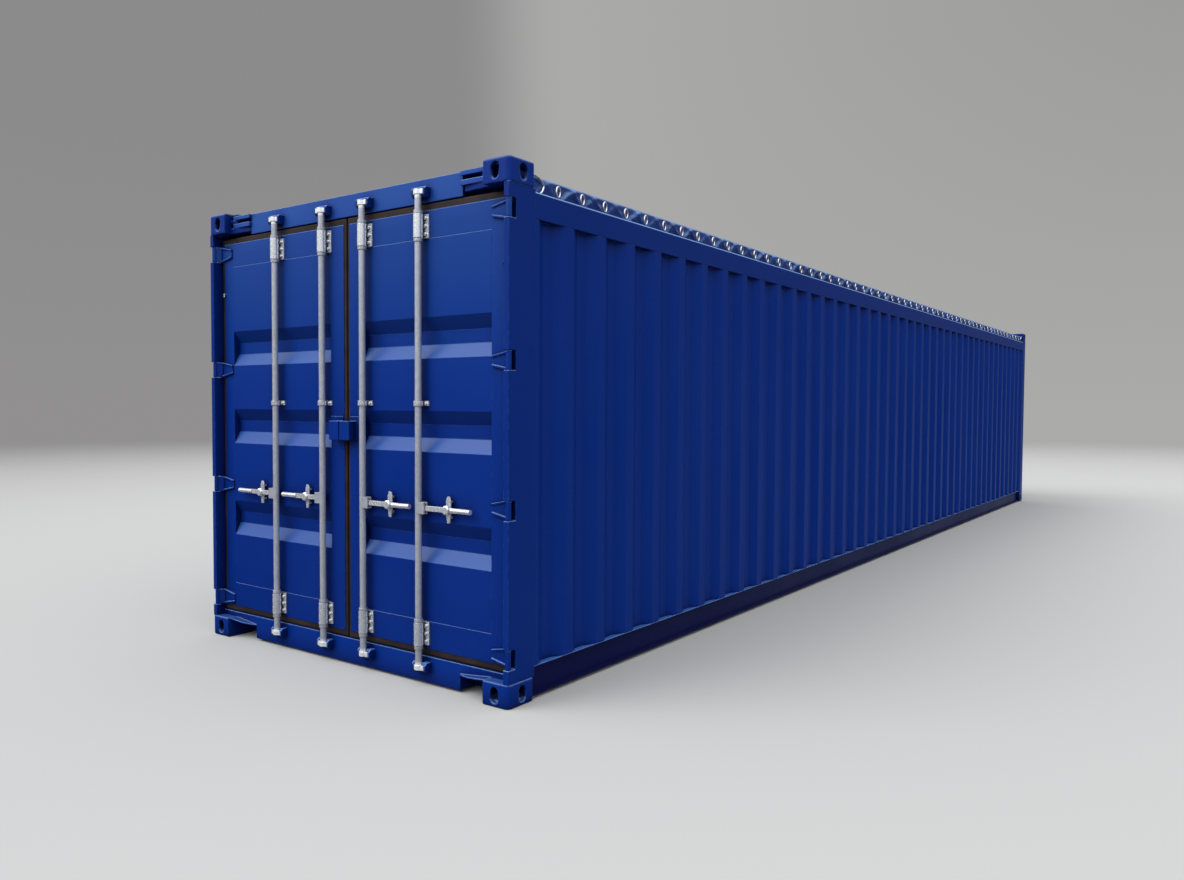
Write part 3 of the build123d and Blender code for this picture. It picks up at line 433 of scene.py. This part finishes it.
def roof_place(x, y):
    """A point of the cloth over the bows."""
    between = math.sin(math.pi * (y - first_bow) / bow_pitch) ** 2
    rise = crown_rise * (1 - (x / cloth_half) ** 2)
    sag = sag_depth * between * (1 - (x / cloth_half) ** 4) * (1 + 0.4 * ripple(x, y, 0, 1.3))
    crease = crease_depth * between * ripple(x, y, 3, 9.0)
    return Vector((x, y, edge_level + rise - cloth_clearance - sag + crease))


def skirt_place(side, share, y):
    """A point of the skirt, from its hem at share 0 to the roof's edge at share 1."""
    turn = (y - first_ring) / ring_pitch
    number = math.floor(turn)
    part = turn - number
    strong = fold_height * (1 + 0.45 * math.sin(2.3 * number + side))
    lean = 0.10 * math.sin(1.7 * number + 2 * side)
    fold = hump(part, 0.14 + (0.60 + lean) * share, 0.07 + 0.05 * share)
    fold += 0.7 * hump(part, 0.88 - (0.52 - lean) * share, 0.08)
    fold *= 1 - share ** 3
    out = 0.0006 + strong * fold + 0.0015 * (1 + ripple(side, y, share, 7.0))
    hem = cloth_low[2] + lace_lift * math.sin(math.pi * part) ** 2
    height = hem + share * (edge_level - cloth_clearance - hem)
    return Vector((side * (cloth_half + out), y, height))


def corner_place(side, turn, y):
    """A point of the bend between the skirt and the roof."""
    x = cloth_half + cloth_clearance - bend_radius * (1 - math.cos(turn))
    z = edge_level - cloth_clearance - bend_radius * (1 - math.sin(turn))
    return Vector((side * x, y, z))


def quads(mesh, rows):
    """Joins rows of places into one surface."""
    spots = [[mesh.verts.new(place) for place in row] for row in rows]
    for one, other in zip(spots, spots[1:]):
        for index in range(len(one) - 1):
            mesh.faces.new((one[index], one[index + 1], other[index + 1], other[index]))


def evenly(first, last, count):
    return [first + (last - first) * index / (count - 1) for index in range(count)]


mesh = bmesh.new()
skirt_shares = evenly(0.0, 0.88, 9)
turns = (0.35, 0.8, 1.25)
roof_half = cloth_half - bend_radius
rows = []
for y in evenly(skirt_end, -skirt_end, round(-2 * skirt_end / cloth_step)):
    row = [skirt_place(-1, share, y) for share in skirt_shares]
    row += [corner_place(-1, turn, y) for turn in turns]
    row += [roof_place(x, y) for x in evenly(-roof_half, roof_half, 23)]
    row += [corner_place(1, turn, y) for turn in reversed(turns)]
    row += [skirt_place(1, share, y) for share in reversed(skirt_shares)]
    rows.append(row)
quads(mesh, rows)
for end in (-1, 1):
    line = [end * y for y in (-skirt_end, -skirt_end + 0.025, -skirt_end + 0.05, flap_end)]
    quads(mesh, [[roof_place(x, y) for x in evenly(-flap_half, flap_half, 21)] for y in line])
    corner = [(flap_shoulder, line[0]), (flap_half, line[0]), (flap_half, line[3])]
    path = corner + [(x, line[3]) for x in evenly(flap_half, -flap_half, 21)[1:-1]]
    path += [(-x, y) for x, y in reversed(corner)]
    for (x0, y0), (x1, y1) in zip(path, path[1:]):
        tops = [roof_place(x, y) for x, y in ((x0, y0), (x1, y1))]
        quads(mesh, [[place + Vector((0, 0, (flap_level - place.z) * share))
                      for share in (0, 0.5, 1)] for place in tops])
bmesh.ops.remove_doubles(mesh, verts=mesh.verts, dist=weld_distance)
bmesh.ops.recalc_face_normals(mesh, faces=mesh.faces)
bmesh.ops.solidify(mesh, geom=mesh.faces[:], thickness=cloth_thickness)

cloth_dark = (0.0016, 0.018, 0.130, 1.0)
cloth_light = (0.005, 0.036, 0.21, 1.0)
# Painted highlight on the tops of the folds.
cloth_fold_highlight = (0.13, 0.26, 0.56, 1.0)

material, place = new_finish("tarpaulin_cloth")
weave = noise(place, 900.0, 1.0)
creases = noise(place, 24.0, 4.0, (1.0, 1.0, 1.6))
stains = noise(place, 2.2, 5.0)
colour = blend_colour(ramp(stains, 0.3, 0.7), cloth_dark, cloth_light)
upward = vertical_part(weave.node("ShaderNodeNewGeometry", {}, {}, output=1))
# Painted highlight where the cloth's folds and creases face up, as if lit from above.
fold_highlight = ramp(upward + 0.5 * creases, 0.36, 0.78) * ramp(upward, 0.98, 0.80)
colour = blend_colour(fold_highlight, colour, cloth_fold_highlight)
close_finish(place, {"Base Color": colour, "Roughness": 0.32 + 0.1 * stains,
                     "Specular IOR Level": 0.35,
                     "Normal": bump(creases, 0.35, 0.006, bump(weave, 0.05, 0.0003))})
cloth = new_piece("tarpaulin_sheet", mesh, material)
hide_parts("tarpaulin")

# Lashing rings
# Bent round bars of bright plated steel, one through each eyelet, with an oval rim pressed round
# the eyelet in the cloth.
bar_radius = 0.0080
loop_half_height = 0.0185
loop_reach = 0.0165
rim_half_width = 0.0155
rim_half_height = 0.0265
rim_radius = 0.0055
loop_sides = 8
rim_sides = 6
loop_foot = 0.006
rim_foot = 0.004
eyelet_depth = 0.001


def bent_bar(mesh, places, radius, sides):
    """A round bar along places that lie in one plane."""
    closed = (places[0] - places[-1]).length < 1e-6
    run = places[:-1] if closed else places
    flat = (run[1] - run[0]).cross(run[2] - run[1]).normalized()
    hoops = []
    for index, place in enumerate(run):
        before = run[index - 1] if index or closed else place
        after = run[(index + 1) % len(run)] if index < len(run) - 1 or closed else place
        out = (after - before).normalized().cross(flat)
        around = [math.cos(turn) * out + math.sin(turn) * flat
                  for turn in evenly(0, 2 * math.pi, sides + 1)[:-1]]
        hoops.append([mesh.verts.new(place + radius * spoke) for spoke in around])
    for index in range(len(hoops) - (0 if closed else 1)):
        one, other = hoops[index], hoops[(index + 1) % len(hoops)]
        for side in range(sides):
            beside = (side + 1) % sides
            mesh.faces.new((one[side], one[beside], other[beside], other[side]))
    if not closed:
        mesh.faces.new(hoops[0])
        mesh.faces.new(hoops[-1])


material, place = new_finish("bright_plating")
close_finish(place, {"Base Color": (0.80, 0.82, 0.86, 1.0), "Metallic": 0.9,
                     "Roughness": 0.14 + 0.14 * noise(place, 60.0)})
for name, side in (("right", 1), ("left", -1)):
    mesh = bmesh.new()
    foot = side * (cloth_half - eyelet_depth)
    level = (ring_low[2] + ring_high[2]) / 2
    for number in range(rings_per_side):
        y = first_ring + number * ring_pitch
        bow = [Vector((foot + side * (loop_foot + loop_reach * math.sin(turn)), y,
                       level + loop_half_height * math.cos(turn)))
               for turn in evenly(0, math.pi, 11)]
        loop = [Vector((foot, y, level + loop_half_height)),
                Vector((foot + side * loop_foot / 2, y, level + loop_half_height)),
                *bow, Vector((foot, y, level - loop_half_height))]
        bent_bar(mesh, loop, bar_radius, loop_sides)
        rim = [Vector((foot + side * rim_foot, y + rim_half_width * math.sin(turn),
                       level + rim_half_height * math.cos(turn)))
               for turn in evenly(0, 2 * math.pi, 17)]
        bent_bar(mesh, rim, rim_radius, rim_sides)
    bmesh.ops.recalc_face_normals(mesh, faces=mesh.faces)
    rings = new_piece(f"{name}_rings_and_rims", mesh, material)
    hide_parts(f"{name}_lashing_rings")
dress(["tarpaulin_end_loops"], material)

# Floor, background and light
# A pale studio floor that fades into a plain grey background, with one broad soft lamp high in
# front on the left and even light from above. The paint mirrors the studio, which is dark near
# the ground, and not the floor.
floor_radius = 44.0
floor_shade = (0.460, 0.463, 0.462, 1.0)
fade_middle = (3.78, 0.42, 0.0)
fade_near = 7.0
fade_far = 37.0

mesh = bmesh.new()
bmesh.ops.create_circle(mesh, cap_ends=True, segments=96, radius=floor_radius)
floor_data = bpy.data.meshes.new("studio_floor")
mesh.to_mesh(floor_data)
mesh.free()
floor = bpy.data.objects.new("studio_floor", floor_data)
bpy.context.scene.collection.objects.link(floor)
floor.visible_glossy = False
material, place = new_finish("studio_floor")
offset = place.node("ShaderNodeVectorMath", {"operation": "SUBTRACT"}, {0: place, 1: fade_middle})
reach = offset.node("ShaderNodeVectorMath", {"operation": "LENGTH"}, {0: offset}, output=1)
solid = reach.node("ShaderNodeMapRange", {"interpolation_type": "SMOOTHSTEP"},
                   {"Value": reach, "From Min": fade_far, "From Max": fade_near})
close_finish(place, {"Base Color": floor_shade, "Roughness": 0.9, "Specular IOR Level": 0.0,
                     "Alpha": solid})
floor_data.materials.append(material)

brighter_side = (0.25, -0.97, 0.0)
floor_side = (0.26, 0.966, 0.0)
far_floor = (0.22, 0.26, 0.38, 1.0)
dome_strength = 1.5
right_backdrop = (0.402, 0.400, 0.398, 1.0)
far_right_low = (0.405, 0.404, 0.402, 1.0)
far_right_high = (0.338, 0.337, 0.336, 1.0)
left_low = (0.286, 0.280, 0.280, 1.0)
left_high = (0.264, 0.259, 0.262, 1.0)

world = bpy.data.worlds.new("studio")
world.use_nodes = True
world.node_tree.nodes.clear()
sky = Wire(world.node_tree, world.node_tree.nodes.new("ShaderNodeTexCoord").outputs["Generated"])
camera_right = camera.matrix_world.to_3x3() @ Vector((1.0, 0.0, 0.0))
across = dot(sky, camera_right)
edge = sky.node("ShaderNodeMapRange", {"interpolation_type": "SMOOTHSTEP"},
                {"Value": across, "From Min": -0.14, "From Max": -0.03})
height = vertical_part(sky)
far_right = blend_colour(ramp(height, 0.0, 0.36), far_right_low, far_right_high)
right_part = blend_colour(ramp(across, 0.0, 0.5), right_backdrop, far_right)
left_part = blend_colour(ramp(height, 0.0, 0.25), left_low, left_high)
backdrop = blend_colour(edge, left_part, right_part)
dome_greys = ((0.0, 0.04), (0.52, 0.03), (0.60, 0.50), (0.70, 1.12), (1.0, 1.60))
stops = [(place, (grey, grey, grey, 1.0)) for place, grey in dome_greys]
dome = sky.node("ShaderNodeValToRGB", {"stops": stops}, {"Fac": 0.5 + 0.5 * height})
dome = dome * (dome_strength * ramp(dot(sky, brighter_side), -1.3, 0.7))
mirrored = sky.node("ShaderNodeLightPath", {}, {}, output=3)
glow = mirrored * ramp(dot(sky, floor_side), 0.80, 0.97) * ramp(height, 0.16, -0.06)
dome = blend_colour(glow, dome, far_floor)
seen = sky.node("ShaderNodeLightPath", {}, {}, output=0)
shade = blend_colour(seen, dome, backdrop)
light = sky.node("ShaderNodeBackground", {}, {"Color": shade, "Strength": 1.0})
sky.node("ShaderNodeOutputWorld", {}, {"Surface": light})
bpy.context.scene.world = world

lamp_from = Vector((-0.46, -0.60, 0.66))
lamp_energy = 1.3
lamp_spread = math.radians(40.0)
lamp_data = bpy.data.lights.new("soft_lamp", "SUN")
lamp_data.energy = lamp_energy
lamp_data.angle = lamp_spread
lamp = bpy.data.objects.new("soft_lamp", lamp_data)
lamp.rotation_euler = lamp_from.to_track_quat("Z", "Y").to_euler()
bpy.context.scene.collection.objects.link(lamp)

bpy.context.scene.view_settings.view_transform = "Standard"
